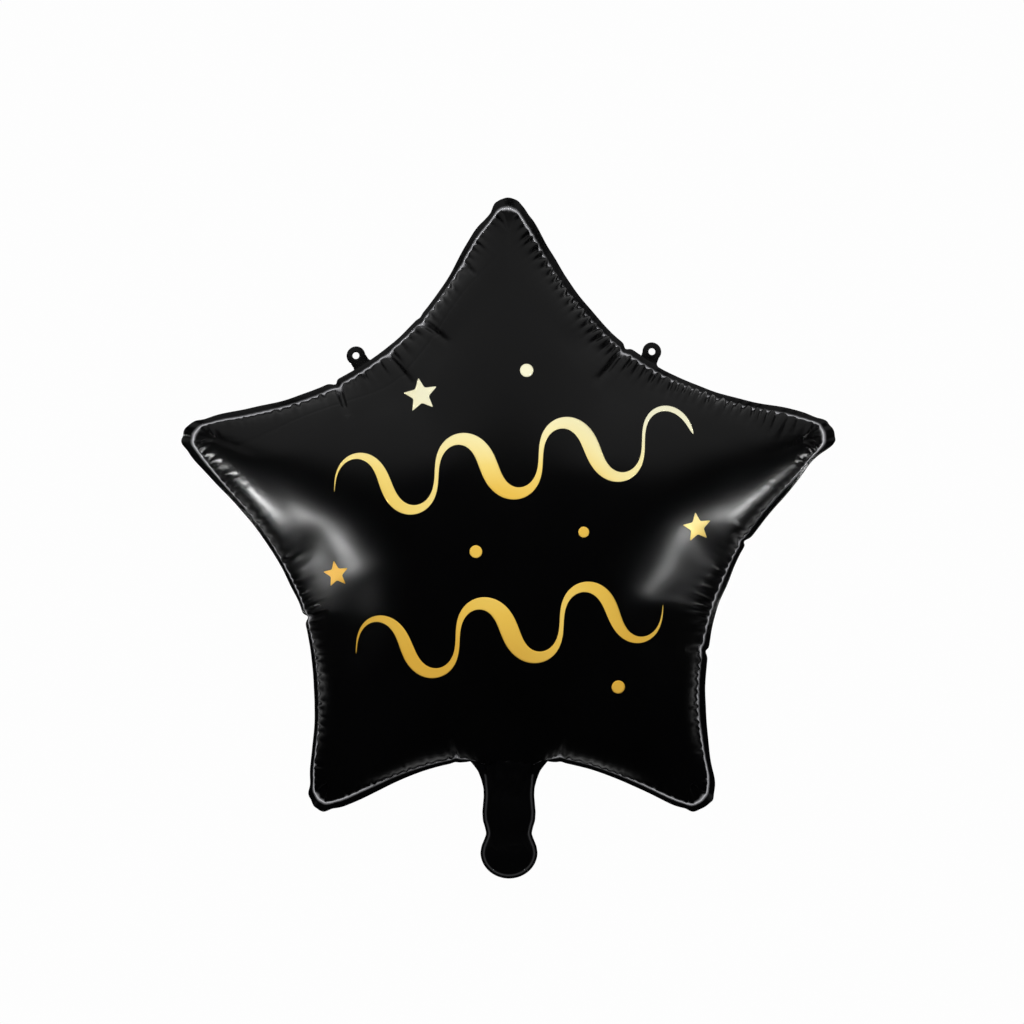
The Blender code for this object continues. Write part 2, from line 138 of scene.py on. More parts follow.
# Small lobes of the crumpled tips: place, half length along the rim, and how far they stand out
LOBES = (
    (4.985, 0.050, 0.0030), (5.080, 0.032, 0.0030), (4.90, 0.03, 0.0012), (6.945, 0.030, 0.0026),
    (7.045, 0.045, 0.0034), (3.055, 0.032, 0.0024), (2.955, 0.055, 0.0038), (9.055, 0.045, 0.0030),
    (8.94, 0.030, 0.0030), (1.03, 0.042, 0.0030), (0.93, 0.035, 0.0030),
)
PUCKER_PITCH = 0.0061
PUCKER_HEIGHT = 0.0028
EVEN_STRETCH = (3.25, 4.95)  # the stretch of seam with even, sharp ridges

# Punched tabs, tail and print, from the CAD model
TAB_STEM = 0.0056
TAB_HEAD_RADIUS = 0.0066
TAB_HOLE_RADIUS = 0.0024
TABS = {
    "left": {"hole": (-0.1068, 0.1255), "lean": math.radians(33), "place": 6.0},
    "right": {"hole": (0.0997, 0.1283), "lean": math.radians(-20), "place": 4.0},
}
INLET_RADIUS = 0.0045
INLET_DROP = 0.2200
PRINT_RISE = math.radians(9)
STREAMER_SWING = math.radians(78)
STREAMERS = {
    "upper": {"start": (-0.118, 0.030), "waves": 3.5, "wave_length": 0.120, "widest": 0.0125},
    "lower": {"start": (-0.104, -0.080), "waves": 3.0, "wave_length": 0.120, "widest": 0.0125},
}
PRINTED_STARS = ((-0.060, 0.096, 0.0125), (0.128, 0.006, 0.0105), (-0.118, -0.026, 0.0095))
PRINTED_DOTS = (
    (0.012, 0.112, 0.0045),
    (-0.022, -0.010, 0.0042),
    (0.050, 0.003, 0.0036),
    (0.074, -0.102, 0.0045),
)


# ---- outlines


def polar(radius, angle):
    return np.array([radius * math.cos(angle), radius * math.sin(angle)])


def half_edge(star, count):
    """Evenly spaced points from the middle of the lower notch to the middle of the blunt tip on its right."""
    tip, notch, fillet, turn = star
    down = -math.pi / 2
    centre = polar(notch + fillet, down)
    line = [centre - polar(fillet, down - turn * k / 40) for k in range(41)]
    run = (notch + fillet) * math.cos(turn) - fillet
    half_tip = (run - tip * math.cos(SECTOR / 2 + turn)) / math.sin(SECTOR / 2 + turn)
    axis = down + SECTOR / 2
    line += [polar(tip, axis) - polar(half_tip, axis + math.pi / 2), polar(tip, axis)]
    line = np.array(line)
    length = np.concatenate([[0], np.cumsum(np.linalg.norm(np.diff(line, axis=0), axis=1))])
    at = np.linspace(0, length[-1], count + 1)
    return np.stack([np.interp(at, length, line[:, k]) for k in range(2)], axis=1)


def outline(star, count):
    """The star's closed outline, anticlockwise from the lower notch, with 10 x count points."""
    first = half_edge(star, count)
    axis = polar(1, -math.pi / 2 + SECTOR / 2)
    mirrored = (2 * np.outer(first @ axis, axis) - first)[::-1]
    side = np.concatenate([first[:-1], mirrored[:-1]])
    turned = []
    for k in range(POINTS):
        c, s = math.cos(SECTOR * k), math.sin(SECTOR * k)
        turned.append(side @ np.array([[c, s], [-s, c]]))
    return np.concatenate(turned)


def inside(points, ring):
    x, y = points.T
    found = np.zeros(len(points), bool)
    for (x0, y0), (x1, y1) in zip(ring, np.roll(ring, -1, axis=0)):
        crosses = (y0 > y) != (y1 > y)
        found ^= crosses & (x < (x1 - x0) * (y - y0) / (y1 - y0 + 1e-30) + x0)
    return found


def to_segments(points, ring, chunk=1500):
    """For each point, its distance to the ring and the ring index (a float) of the nearest place."""
    ends = np.roll(ring, -1, axis=0)
    along = ends - ring
    square = (along**2).sum(1)
    distance, place = np.empty(len(points)), np.empty(len(points))
    for k in range(0, len(points), chunk):
        part = points[k : k + chunk, None, :] - ring[None]
        share = np.clip((part * along[None]).sum(2) / square, 0, 1)
        gap = np.linalg.norm(part - share[..., None] * along[None], axis=2)
        best = gap.argmin(1)
        rows = np.arange(len(best))
        distance[k : k + chunk] = gap[rows, best]
        place[k : k + chunk] = best + share[rows, best]
    return distance, place


def lattice(spacing, reach=0.26):
    """A triangular lattice of points."""
    rows = np.arange(-reach, reach, spacing * math.sqrt(3) / 2)
    columns = np.arange(-reach, reach, spacing)
    return np.array([(x + spacing / 2 * (j % 2), y) for j, y in enumerate(rows) for x in columns])


def doubled_area(a, b, c):
    return (b[:, 0] - a[:, 0]) * (c[:, 1] - a[:, 1]) - (b[:, 1] - a[:, 1]) * (c[:, 0] - a[:, 0])


def loop_edges(first, count):
    return [(first + k, first + (k + 1) % count) for k in range(count)]


def flat_mesh(ring, points, hole_count=0):
    """Triangles over a ring and the points inside it, of which the first hole_count form a closed hole."""
    count = len(ring)
    corners = [Vector(p) for p in np.concatenate([ring, points])]
    edges = loop_edges(0, count) + loop_edges(count, hole_count)
    verts, _, faces, *_ = delaunay_2d_cdt(corners, edges, [list(range(count))], 1, 1e-7)
    verts = np.array([tuple(v) for v in verts])
    faces = np.array([tuple(f) for f in faces if len(f) == 3])
    turn = doubled_area(*(verts[faces[:, k]] for k in range(3)))
    faces[turn < 0] = faces[turn < 0][:, ::-1]
    return verts, faces


# ---- inflated film


def cloth(name, flat, faces, weld, frames, settle, seed):
    """The film as it is filled: a cloth that resists stretch but not crumpling, its weld line drawn in."""
    count = len(weld)
    start = np.stack([flat[:, 0], -0.0005 + 0 * flat[:, 0], flat[:, 1]], 1)
    start[:, 1] += np.random.default_rng(seed).normal(0, 0.0002, len(flat))
    start[:count, 1] = 0
    mesh = bpy.data.meshes.new(name)
    mesh.from_pydata(start.tolist(), [], faces.tolist())
    obj = bpy.data.objects.new(name, mesh)
    bpy.context.scene.collection.objects.link(obj)
    obj.shape_key_add(name="Basis")
    drawn_in = obj.shape_key_add(name="drawn_in")
    goal = start.copy()
    goal[:count] = np.stack([weld[:, 0], 0 * weld[:, 0], weld[:, 1]], 1)
    drawn_in.data.foreach_set("co", goal.ravel())
    drawn_in.value = 0.0
    drawn_in.keyframe_insert("value", frame=1)
    drawn_in.value = 1.0
    drawn_in.keyframe_insert("value", frame=frames - settle)
    obj.vertex_groups.new(name="weld").add(list(range(count)), 1.0, "REPLACE")
    modifier = obj.modifiers.new("Cloth", "CLOTH")
    settings = modifier.settings
    settings.vertex_group_mass = "weld"
    for key, value in CLOTH.items():
        setattr(settings, key, value)
    settings.effector_weights.gravity = 0
    modifier.collision_settings.use_collision = False
    modifier.point_cache.frame_end = frames + 1
    for step in range(1, frames + 1):
        bpy.context.scene.frame_set(step)
    depsgraph = bpy.context.evaluated_depsgraph_get()
    result = obj.evaluated_get(depsgraph).to_mesh()
    spots = np.empty(len(result.vertices) * 3, np.float32)
    result.vertices.foreach_get("co", spots)
    bpy.context.scene.frame_set(1)
    bpy.data.objects.remove(obj)
    return spots.reshape(-1, 3).astype(float)


def smoothed(spots, faces, fixed, rounds):
    """Evens out the smallest creases. The first fixed points stay."""
    pairs = np.concatenate([faces[:, [0, 1]], faces[:, [1, 2]], faces[:, [2, 0]]])
    pairs = np.unique(np.sort(pairs, axis=1), axis=0)
    count = np.bincount(pairs.ravel(), minlength=len(spots))[:, None]
    for _ in range(rounds):
        total = np.zeros_like(spots)
        np.add.at(total, pairs[:, 0], spots[pairs[:, 1]])
        np.add.at(total, pairs[:, 1], spots[pairs[:, 0]])
        moved = spots * 0.5 + total / count * 0.5
        moved[:fixed] = spots[:fixed]
        spots = moved
    return spots


def vertex_normals(spots, faces):
    a, b, c = (spots[faces[:, k]] for k in range(3))
    normal = np.cross(b - a, c - a)
    total = np.zeros_like(spots)
    for k in range(3):
        np.add.at(total, faces[:, k], normal)
    return total / np.maximum(np.linalg.norm(total, axis=1, keepdims=True), 1e-12)


def filled_film(seed):
    """The simulated film: its flat points, its triangles and where the points end up."""
    flat_ring = outline(FLAT_STAR, HALF_EDGE_COARSE)
    weld = outline(WELD_STAR, HALF_EDGE_COARSE)
    points = lattice(COARSE)
    points = points[inside(points, flat_ring)]
    distance, _ = to_segments(points, flat_ring)
    flat, faces = flat_mesh(flat_ring, points[distance > 0.6 * COARSE])
    spots = cloth("filling_film", flat, faces, weld, FILL_FRAMES, SETTLE_FRAMES, seed)
    return flat, faces, smoothed(spots, faces, len(weld), FILM_SMOOTHING)


def on_film(points, film, roundness=0.75):
    """Where flat points lie on the filled film, rounded between its coarse points."""
    flat, faces, spots = film
    normals = vertex_normals(spots, faces)
    tree = BVHTree.FromPolygons([(x, y, 0.0) for x, y in flat], faces.tolist())
    found = np.array([tree.find_nearest((x, y, 0.0))[2] for x, y in points])
    corners = faces[found]
    a, b, c = (flat[corners[:, k]] for k in range(3))
    shares = np.stack([doubled_area(points, *pair) for pair in ((b, c), (c, a), (a, b))], axis=1)
    shares = np.clip(shares / doubled_area(a, b, c)[:, None], 0, 1)
    shares /= shares.sum(1, keepdims=True)
    plain = (shares[..., None] * spots[corners]).sum(1)
    lifted = np.zeros_like(plain)
    for k in range(3):
        normal = normals[corners[:, k]]
        fall = ((plain - spots[corners[:, k]]) * normal).sum(1, keepdims=True)
        lifted += shares[:, k : k + 1] * (plain - fall * normal)
    return plain * (1 - roundness) + lifted * roundness


# ---- puckers and the welded flange


def table_at(table, place):
    return np.interp(np.mod(place, 10), [row[0] for row in table], [row[1] for row in table])


def smoothstep(value):
    value = np.clip(value, 0, 1)
    return value * value * (3 - 2 * value)


def pleat_borders():
    """Where the small pleats of the seam begin, as lengths along the flat weld line."""
    rng = np.random.default_rng(7)
    total = 10 * FLAT_HALF_EDGE
    widths = rng.uniform(0.7, 1.35, round(total / PUCKER_PITCH)) * PUCKER_PITCH
    return np.concatenate([[0], np.cumsum(widths) * total / widths.sum()])


BORDERS = pleat_borders()


def pleat_at(place):
    """For places along the ring (in half edges), the pleat's number and the way across it from 0 to 1."""
    along = np.mod(place, 10) * FLAT_HALF_EDGE
    number = np.clip(np.searchsorted(BORDERS, along, side="right") - 1, 0, len(BORDERS) - 2)
    return number, (along - BORDERS[number]) / (BORDERS[number + 1] - BORDERS[number])


def away_from(place, at):
    """How far places on the ring are from one place, in half edges."""
    return np.abs(np.mod(place - at + 5, 10) - 5)


def near_tip(place, reach):
    """1 at the middle of a tip, falling to 0 at reach half edges from it."""
    away = np.abs(np.mod(place, 2) - 1)
    return smoothstep(1 - away / reach)


def tab_calm(place):
    """Falls to 0.15 where a tab grows from the flange."""
    calm = np.ones_like(place)
    for tab in TABS.values():
        away = np.abs(place - tab["place"]) * FLAT_HALF_EDGE
        calm = np.minimum(calm, 0.15 + 0.85 * smoothstep((away - 0.010) / 0.012))
    return calm


def neck_calm(place):
    away = np.minimum(np.mod(place, 10), 10 - np.mod(place, 10)) * FLAT_HALF_EDGE
    return smoothstep((away - 0.020) / 0.015)


def weave(place, step, seed):
    """A smooth wander from -1 to 1 along the ring, closed, with a knot each step half edges."""
    rng = np.random.default_rng(seed)
    count = round(10 / step)
    knots = rng.uniform(-1, 1, count)
    at = np.mod(place, 10) / 10 * count
    low = np.floor(at).astype(int) % count
    share = smoothstep(at - np.floor(at))
    return knots[low] * (1 - share) + knots[(low + 1) % count] * share


def crease_pull(place, sharpness):
    """The share of each deep crease's depth at a place on the ring, 1 on the crease."""
    return [np.exp(-((away_from(place, row[0]) * FLAT_HALF_EDGE / sharpness) ** 2)) for row in CREASES]


def ring_line():
    """The places of the ring's points, and its weld line and rim as arrays of (x, z)."""
    place = np.arange(RING) / HALF_EDGE_FINE
    rim = outline(RIM_STAR, HALF_EDGE_FINE)
    out = rim - outline(WELD_STAR, HALF_EDGE_FINE)
    out /= np.linalg.norm(out, axis=1, keepdims=True)
    _, across = pleat_at(place)
    lobe = np.sin(np.pi * across) ** 0.8
    strength = table_at(PUCKER, place)
    rim_out, weld_out = ring_average(0.001 * seam_at(place))
    weld_out = weld_out + strength * (lobe - 0.5) * 0.0008
    calm = tab_calm(place) * neck_calm(place)
    rim_out = rim_out + 0.00035 * weave(place, 0.10, 3) * (0.5 + strength) * calm
    for row, pull in zip(CREASES, crease_pull(place, 0.0024)):
        rim_out = rim_out - row[3] * pull
        weld_out = weld_out - 0.45 * row[2] * pull
    for at, half, height in LOBES:
        rim_out = rim_out + height * smoothstep(1 - away_from(place, at) / (1.5 * half))
    round_tip = near_tip(place, 0.16)[:, None]
    lines = []
    for line in (rim + out * weld_out[:, None], rim + out * rim_out[:, None]):
        even = ring_average(line.T, 8).T
        lines.append(line * (1 - round_tip) + even * round_tip)
    return place, *lines


def seam_at(place):
    at = np.mod(place, 10)
    rows = np.array(SEAM)
    return np.stack([np.interp(at, rows[:, 0], rows[:, k]) for k in (1, 2)])


def ring_average(values, reach=5):
    """Rounds off the corners of values given round the ring."""
    return sum(np.roll(values, shift, axis=-1) for shift in range(-reach, reach + 1)) / (2 * reach + 1)


PLACE, WELD_XZ, RIM_XZ = ring_line()
SHIFT = np.random.default_rng(11).uniform(-1, 1, len(BORDERS))


def flange_y(place, share):
    """How far back the flange's middle lies: 0 share on the weld line, 1 on the rim."""
    number, across = pleat_at(place)
    strength = table_at(PUCKER, place)
    calm = tab_calm(place) * neck_calm(place)
    bow = np.sin(np.pi * across) - 0.6
    wave = 0.0004 * strength * bow * (0.6 + 0.4 * SHIFT[number])
    long_wave = 0.0012 * weave(place, 0.21, 5) * share + 0.0005 * weave(place, 0.09, 9) * share
    tip = near_tip(place, 0.14)
    crumple = tip * share * (0.0030 * weave(place, 0.045, 21) + 0.0016 * weave(place, 0.022, 22))
    lean = table_at(FLANGE_LEAN, place) * share**1.4
    return lean + calm * (wave * (0.5 + 0.9 * share) + long_wave * (0.5 + strength) + crumple)


def noise_at(points, scale, seed):
    """Smooth noise from -1 to 1 at points (x, y, z)."""
    move = Vector((seed * 3.1, seed * 1.7, seed * 5.3))
    return np.array([noise.noise(Vector(p) * scale + move) for p in points])


def groove_table(seed):
    """The deeper creases that run in from the seam at some pleat borders: strength and length of each."""
    rng = np.random.default_rng(seed)
    count = len(BORDERS)
    depth = np.zeros(count)
    length = rng.uniform(0.016, 0.030, count)
    at = 0
    while at < count:
        depth[at] = rng.uniform(0.5, 1.0)
        at += rng.integers(2, 6)
    return depth, length


def puckered(spots, faces, distance, place, seed):
    """The smooth film with its seam puckers and creases added along its normals."""
    rng = np.random.default_rng(seed)
    normals = vertex_normals(spots, faces)
    number, across = pleat_at(place)
    count = len(BORDERS)
    tall = rng.uniform(0.35, 1.0, count)[number]
    reach = (rng.uniform(0.013, 0.026, count) * np.where(rng.random(count) < 0.14, 1.4, 1.0))[number]
    strength = table_at(PUCKER, place)
    reach = reach * (0.65 + 0.5 * strength)
    even = smoothstep((place - EVEN_STRETCH[0]) / 0.1) * smoothstep((EVEN_STRETCH[1] - place) / 0.15)
    tall = tall * (1 - even) + (0.95 + 0.15 * tall) * even
    reach = reach * (1 - even) + (0.018 + 0.25 * reach) * even
    lobe = 0.5 * np.sin(np.pi * across) ** 0.75 + 0.5 * (1 - np.abs(2 * across - 1)) ** 1.5
    rise = 0.30 + 0.70 * smoothstep(distance / 0.0028)
    fade = 1 - smoothstep((distance - 0.25 * reach) / (0.75 * reach))
    start = smoothstep(distance / 0.0012)
    height = PUCKER_HEIGHT * strength * tall * lobe * rise * fade * start
    depth, length = groove_table(seed + 40)
    along = place * FLAT_HALF_EDGE
    for at in (number, number + 1):
        at = np.minimum(at, count - 1)
        wide = 0.0009 + 0.03 * distance
        off = (along - BORDERS[at]) / wide
        cut = np.exp(-(off**2)) - 0.35 * np.exp(-((np.abs(off) - 1.9) ** 2))
        run = (1 - smoothstep(distance / length[at])) * start
        height -= 0.0013 * depth[at] * cut * run * (0.35 + 0.5 * strength)
    for row, pull in zip(CREASES, crease_pull(place, CREASE_WIDTH)):
        height -= row[2] * pull * np.clip(1 - distance / row[1], 0, 1) ** 0.6 * start
    mask = smoothstep((np.abs(np.mod(place, 10) - 6.1) - 1.05) / -0.25)
    line = 0.0255 + 0.0030 * weave(place, 0.4, seed + 60)
    height -= 0.00017 * mask * np.exp(-(((distance - line) / 0.0011) ** 2))
    return spots + normals * height[:, None]


# ---- meshes


def to_world(spots):
    moved = np.array(spots, float)
    moved[:, 2] += CENTRE_Z
    return moved


def new_piece(name, spots, faces, materials, smooth=True):
    """An object from star-centre coordinates."""
    mesh = bpy.data.meshes.new(name)
    mesh.from_pydata(to_world(spots).tolist(), [], [list(map(int, f)) for f in faces])
    for material in materials:
        mesh.materials.append(material)
    mesh.validate()
    mesh.polygons.foreach_set("use_smooth", [smooth] * len(mesh.polygons))
    mesh.update()
    obj = bpy.data.objects.new(name, mesh)
    bpy.context.scene.collection.objects.link(obj)
    return obj


def only_used(spots, faces):
    """Leaves out the points that no face uses, and tells which are kept."""
    used = np.zeros(len(spots), bool)
    used[np.concatenate(faces)] = True
    renumber = np.cumsum(used) - 1
    return spots[used], [[renumber[v] for v in f] for f in faces], used


def set_floats(obj, name, values):
    attribute = obj.data.attributes.new(name, "FLOAT", "POINT")
    attribute.data.foreach_set("value", np.asarray(values, np.float32))


def fine_flat_film():
    """The fine mesh of one flat film, with each point's distance from the weld and place along it."""
    ring = outline(FLAT_STAR, HALF_EDGE_FINE)
    rough = outline(FLAT_STAR, 24)
    kept = []
    for low, high, spacing in FINE:
        points = lattice(spacing)
        points = points[inside(points, rough)]
        distance, _ = to_segments(points, rough)
        near = (distance >= low + 0.5 * spacing * (low > 0)) & (distance < high)
        kept.append(points[near])
    points = np.concatenate(kept)
    distance, _ = to_segments(points, ring)
    points = points[distance > 0.55 * FINE[0][2]]
    flat, faces = flat_mesh(ring, points)
    distance, place = to_segments(flat, ring)
    return flat, faces, distance, place / HALF_EDGE_FINE


FLANGE_ROWS = 7
FLANGE_FILM = 0.00012  # from the flange's middle to each face
NECK_MOUTH = 0.0150  # half width of the opening from the star into its neck


def film_piece(name, side, seed, fine, materials):
    """One film of the star, filled, with its half of the welded flange. side is -1 for the front."""
    flat, faces, distance, place = fine
    spots = on_film(flat, filled_film(seed))
    target = np.stack([WELD_XZ[:, 0], flange_y(PLACE, np.zeros(RING)), WELD_XZ[:, 1]], 1)
    seen_target = target * (1, -side, 1)
    shift = seen_target - spots[:RING]
    at = np.mod(place, 10) * HALF_EDGE_FINE
    low = np.floor(at).astype(int) % RING
    share = (at - np.floor(at))[:, None]
    near = shift[low] * (1 - share) + shift[(low + 1) % RING] * share
    spots = spots + near * (1 - smoothstep(distance / 0.045))[:, None]
    spots = puckered(spots, faces, distance, place, seed)
    spots[:RING] = seen_target
    spots[:, 1] *= -side
    verts = [spots]
    strip = []
    first = len(spots)
    rows = [np.arange(RING)]
    for row in range(1, FLANGE_ROWS + 1):
        share = row / FLANGE_ROWS
        middle = flange_y(PLACE, np.full(RING, share))
        bead = 0.00030 * math.exp(-(((share - 0.13) / 0.09) ** 2))
        lift = side * (FLANGE_FILM * (1 - share**8) + bead)
        plan = WELD_XZ + (RIM_XZ - WELD_XZ) * share
        verts.append(np.stack([plan[:, 0], middle + lift, plan[:, 1]], 1))
        rows.append(first + (row - 1) * RING + np.arange(RING))
    spots = np.concatenate(verts)
    following = (np.arange(RING) + 1) % RING
    mouth = (np.abs(WELD_XZ[:, 0]) < NECK_MOUTH) & (WELD_XZ[:, 1] < -0.13)
    for inner, outer in zip(rows, rows[1:]):
        quads = np.stack([inner, outer, outer[following], inner[following]], 1)
        strip.append(quads[~mouth])
    strip = np.concatenate(strip)
    all_faces = faces.tolist() + strip.tolist()
    if side > 0:
        all_faces = [f[::-1] for f in all_faces]
    spots, all_faces, used = only_used(spots, all_faces)
    obj = new_piece(name, spots, all_faces, materials)
    index = np.zeros(len(all_faces), np.int32)
    index[len(faces):] = 1
    obj.data.polygons.foreach_set("material_index", index)
    # Painted highlight mask: a thin band on the film along the weld line and on the flange's inner rows,
    # turned grey in the colour.
    painted_weld_highlight = np.zeros(len(used))
    painted_weld_highlight[: len(flat)] = np.exp(-((distance / 0.0009) ** 2))
    for row in range(1, FLANGE_ROWS + 1):
        painted_weld_highlight[first + (row - 1) * RING : first + row * RING] = math.exp(-((row / FLANGE_ROWS / 0.12) ** 2))
    set_floats(obj, "painted_weld_highlight", painted_weld_highlight[used])
    return obj


def surface_tree(obj):
    mesh = obj.data
    verts = [v.co.copy() for v in mesh.vertices]
    return BVHTree.FromPolygons(verts, [tuple(p.vertices) for p in mesh.polygons])


# ---- neck and tail

# Heights are from the star's centre. The outline's heights and half widths are readings of the photograph.
TAIL_TOP = -0.1306
TAIL_BULB = (-0.2205, 0.0199)  # height and half width where the round end starts
TAIL_END = -0.2389
TAIL_WELD_TOP = -0.166  # the tail's weld shows below this height
STAR_FOOT = -0.165  # nothing of the star's film lies lower
ROOT_END = (-0.186, 0.012)  # where the creased root has passed into the flat tail, and over what length
TAIL_OUTLINE = (
    (-0.1306, 0.0330), (-0.1500, 0.0318), (-0.1546, 0.0295), (-0.1592, 0.0252), (-0.1640, 0.0216),
    (-0.1700, 0.0193), (-0.1759, 0.0178), (-0.1815, 0.0176), (-0.1870, 0.0181), (-0.1926, 0.0186),
    (-0.1985, 0.0182), (-0.2030, 0.0168), (-0.2075, 0.0158), (-0.2110, 0.0170), (-0.2160, 0.0191),
    (-0.2205, 0.0199),
)
CHANNEL = ((-0.2389, 0.03), (-0.1860, 0.03), (-0.1815, 0.0152), (-0.1700, 0.0158), (-0.1546, 0.0178),
           (-0.1306, 0.0176))  # half width of the open channel, where it is less than the outline leaves
PUFF = (
    (-0.2389, 0.0006), (-0.2330, 0.0012), (-0.2205, 0.0022), (-0.2065, 0.0013), (-0.1950, 0.0016),
    (-0.1815, 0.0014), (-0.1740, 0.0026), (-0.1660, 0.0044), (-0.1600, 0.0052), (-0.1306, 0.0054),
)
TAIL_WELD = 0.0025
TAIL_COLUMNS = 68
TAIL_STEP = 0.00068
SMALL_FOLDS = 7


def rounded(table, at, smooth=0.0016):
    """A smooth line through a table."""
    xs = np.array([row[0] for row in table])
    ys = np.array([row[1] for row in table])
    order = np.argsort(xs)
    total = 0
    for shift in np.linspace(-1, 1, 7):
        total = total + np.interp(at + shift * smooth, xs[order], ys[order])
    return total / 7


def tail_half_width(z):
    bulb_z, bulb = TAIL_BULB
    drop = np.clip((bulb_z - z) / (bulb_z - TAIL_END), 0, 1)
    return np.where(z < bulb_z, bulb * np.sqrt(1 - drop**2), rounded(TAIL_OUTLINE, z, 0.0011))


def tail_piece(name, side, seed, star_tree, materials):
    """One film of the neck and the flat tail below it."""
    turns = np.linspace(0, math.pi / 2, 26)[1:]
    rows = np.concatenate([np.arange(TAIL_TOP, TAIL_BULB[0], -TAIL_STEP),
                           TAIL_BULB[0] - (TAIL_BULB[0] - TAIL_END) * np.sin(turns)])
    width = np.maximum(tail_half_width(rows), 0.00005)
    across = np.linspace(-1, 1, TAIL_COLUMNS + 1)
    x = np.outer(width, across)
    z = np.repeat(rows[:, None], TAIL_COLUMNS + 1, axis=1)
    edge_z = np.concatenate([[-0.10], rows])
    edge_w = np.concatenate([[0.06], width])
    loop = np.concatenate([np.stack([edge_w, edge_z], 1), np.stack([-edge_w, edge_z], 1)[::-1]])
    points = np.stack([x.ravel(), z.ravel()], 1)
    distance, _ = to_segments(points, loop)
    channel = rounded(CHANNEL, points[:, 1], 0.001)
    inner = np.minimum(distance - TAIL_WELD, channel - np.abs(points[:, 0]))
    half = np.maximum(np.minimum(tail_half_width(points[:, 1]) - TAIL_WELD, channel), 0.004)
    open_share = np.clip(inner / half, 0, 1)
    swell = np.sqrt(1 - (1 - open_share) ** 2)
    height = 0.00018 + 0.00048 * smoothstep(inner / 0.0016) + rounded(PUFF, points[:, 1], 0.003) * swell
    height += 0.00010 * np.exp(-(((inner + 0.0003) / 0.0004) ** 2)) * (points[:, 1] < TAIL_WELD_TOP)
    rng = np.random.default_rng(seed)
    space = np.stack([points[:, 0], np.zeros(len(points)), points[:, 1]], 1)
    root = smoothstep((points[:, 1] - ROOT_END[0]) / ROOT_END[1])
    runs = noise_at(space * (1, 1, 0.6), 210, seed)
    ridges = np.abs(noise_at(space * (1, 1, 0.5), 170, seed + 3))
    rough = noise_at(space, 130, seed + 5)
    loose = smoothstep(inner / 0.004)
    height += loose * root * (0.0008 * runs - 0.0015 * ridges + 0.0005 * rough)
    height += loose * (1 - root) * (0.00016 * rough - 0.00016 * ridges + 0.00012)
    for _ in range(SMALL_FOLDS):
        start = np.array([rng.uniform(-0.012, 0.012), rng.uniform(-0.228, -0.186)])
        heading = rng.uniform(0, math.pi)
        along = (points - start) @ polar(1, heading)
        off = (points - start) @ polar(1, heading + math.pi / 2)
        fold = np.exp(-((off / 0.0007) ** 2)) * smoothstep(1 - np.abs(along) / 0.009)
        height += 0.00018 * loose * fold
    height = np.maximum(height, np.where(inner > 0.0012, 0.00066, 0.00012))
    spots = np.stack([points[:, 0], side * height, points[:, 1]], 1)
    if side > 0:
        away = points - (0, -INLET_DROP)
        far = np.linalg.norm(away, axis=1)
        snap = np.abs(far - INLET_RADIUS) < 0.00042
        moved = away[snap] / far[snap, None] * INLET_RADIUS
        spots[snap, 0], spots[snap, 2] = moved[:, 0], moved[:, 1] - INLET_DROP
    hidden = np.zeros(len(points), bool)
    for k in np.flatnonzero(points[:, 1] > STAR_FOOT):
        spot = to_world(spots[k : k + 1])[0]
        hit = star_tree.ray_cast(Vector((spot[0], side * 0.3, spot[2])), Vector((0, -side, 0)))
        hidden[k] = hit[0] is not None and side * (hit[0].y - spot[1]) > 0.0016
    wide = TAIL_COLUMNS + 1
    faces = []
    for row in range(len(rows) - 1):
        for column in range(TAIL_COLUMNS):
            a = row * wide + column
            quad = [a, a + wide, a + wide + 1, a + 1]
            if hidden[quad].all():
                continue
            middle = spots[quad].mean(0)
            if side > 0 and np.hypot(middle[0], middle[2] + INLET_DROP) < INLET_RADIUS:
                continue
            faces.append(quad if side < 0 else quad[::-1])
    spots, faces, used = only_used(spots, faces)
    obj = new_piece(name, spots, faces, materials)
    # Painted highlight mask: a faint light line just inside the tail's weld.
    painted_weld_highlight = np.exp(-(((inner + 0.0002) / 0.0005) ** 2)) * (points[:, 1] < TAIL_WELD_TOP)
    set_floats(obj, "painted_weld_highlight", 0.07 * painted_weld_highlight[used])
    return obj


# ---- hanging tabs

TAB_FOOT = -0.0062  # from the fold line down into the flange
TAB_ROOT = 0.0030  # below the fold line, where the tab leaves the flange's face
TAB_FILM = 0.00009
HOLE_STEPS = 36


def tab_half_width(rise):
    """Half width of a tab's stem, flared where it joins the flange."""
    return 0.0061 + 0.0075 * smoothstep((-0.0005 - rise) / 0.0062) ** 1.5


